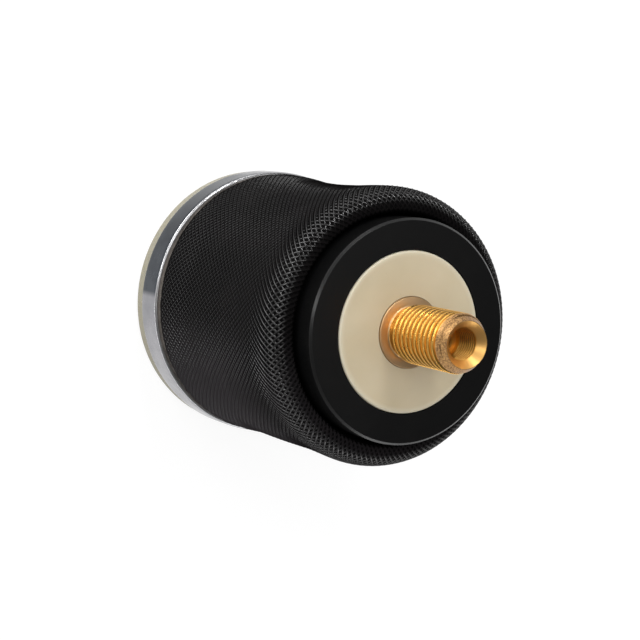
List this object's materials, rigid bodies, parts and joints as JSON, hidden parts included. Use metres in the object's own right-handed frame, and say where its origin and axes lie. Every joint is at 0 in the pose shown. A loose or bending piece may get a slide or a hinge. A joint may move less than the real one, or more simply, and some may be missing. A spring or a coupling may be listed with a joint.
{
  "type": "rolling-lobe air bellows",
  "caption": "Short air bellows: a cord-reinforced rubber sleeve crimped to a ribbed nylon closure plate, rolling on a black piston with a threaded hollow brass air stud.",
  "frame": {"origin": "centre of the closure plate's flat seat face", "axes": "+Z along the bellows' axis from the plate towards the stud's tip; the two threaded inserts lie on the X axis"},
  "size_m": [0.0788, 0.0788, 0.1151],
  "materials": {
    "natural_nylon": "natural ivory nylon, satin moulded",
    "black_plastic": "black glass-filled plastic, fine moulded grain",
    "zinc_steel": "bright zinc-plated steel with faint lilac tint",
    "brass": "turned brass, satin flange and bright thread",
    "sleeve_rubber": "charcoal rubber with the diagonal cord weave showing",
    "soft_rubber": "plain matte black moulded rubber"
  },
  "bodies": {
    "plate_end": {"closure_plate": "natural_nylon", "left_insert": "brass", "right_insert": "brass", "outer_crimp_ring": "zinc_steel"},
    "rolling_lobe": {"sleeve": "sleeve_rubber"},
    "piston_end": {"inner_crimp_ring": "zinc_steel", "bump_stop": "soft_rubber", "piston_core": "natural_nylon", "piston_skirt": "black_plastic", "air_stud": "brass", "stud_o_ring": "soft_rubber", "stud_washer": "zinc_steel", "stud_nut": "zinc_steel"}
  },
  "joints": [
    {"name": "piston_stroke", "type": "slide", "parent": "plate_end", "child": "piston_end", "axis": [0, 0, 1], "range_m": [0, 0.06], "deforming": ["sleeve"]},
    {"name": "lobe_roll", "type": "slide", "parent": "plate_end", "child": "rolling_lobe", "axis": [0, 0, 1], "range_m": [0, 0.03], "deforming": ["sleeve"]}
  ],
  "couplings": [
    {"joint": "lobe_roll", "follows": "piston_stroke", "ratio": 0.5}
  ]
}
